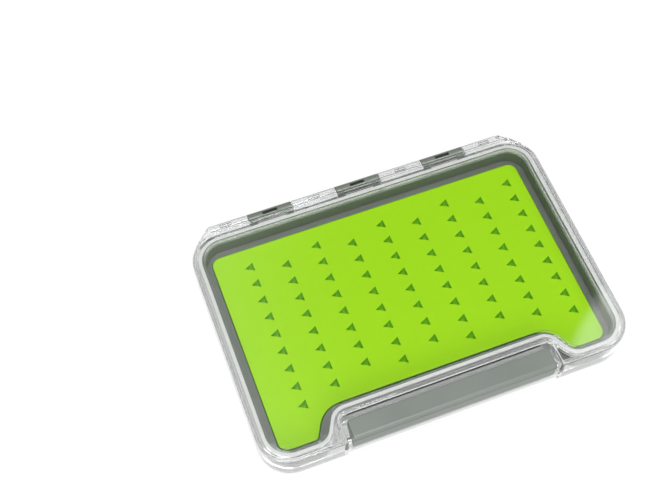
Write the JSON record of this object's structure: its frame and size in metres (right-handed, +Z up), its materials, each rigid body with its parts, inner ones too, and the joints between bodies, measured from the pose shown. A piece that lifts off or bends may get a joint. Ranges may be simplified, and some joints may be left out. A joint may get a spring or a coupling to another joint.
{
  "type": "fly box",
  "caption": "Slim clear clamshell fly box: slotted silicone insert in a grey liner frame, pinned hinge along the back, snap latch along the front, soft seal under the lid's rim.",
  "frame": {"origin": "centre of the bounding box's bottom, with the box closed and lying on its base", "axes": "+X along the case, +Y from the latch to the hinge, +Z up through the lid"},
  "size_m": [0.1402, 0.0992, 0.014],
  "materials": {
    "clear_case": "clear, polished",
    "grey_liner": "satin moulded",
    "grey_latch": "satin moulded",
    "green_silicone": "soft matt silicone",
    "seal_silicone": "translucent silicone",
    "adhesive_film": "acrylic adhesive film",
    "clear_rod": "clear extruded rod",
    "steel_pin": "drawn stainless steel"
  },
  "bodies": {
    "base": {"base_shell": "clear_case", "liner_frame": "grey_liner", "insert_adhesive": "adhesive_film", "silicone_insert": "green_silicone", "latch_pin": "steel_pin"},
    "lid": {"lid_shell": "clear_case", "lid_seal": "seal_silicone", "hinge_pin": "clear_rod"},
    "latch": {"latch_bar": "grey_latch"}
  },
  "joints": [
    {"name": "lid_hinge", "type": "hinge", "parent": "base", "child": "lid", "pos_m": [0, 0.04755, 0.0107], "axis": [-1, 0, 0], "range_deg": [0, 180]},
    {"name": "latch_hinge", "type": "hinge", "parent": "base", "child": "latch", "pos_m": [0, -0.0469, 0.0073], "axis": [1, 0, 0], "range_deg": [0, 100]}
  ]
}
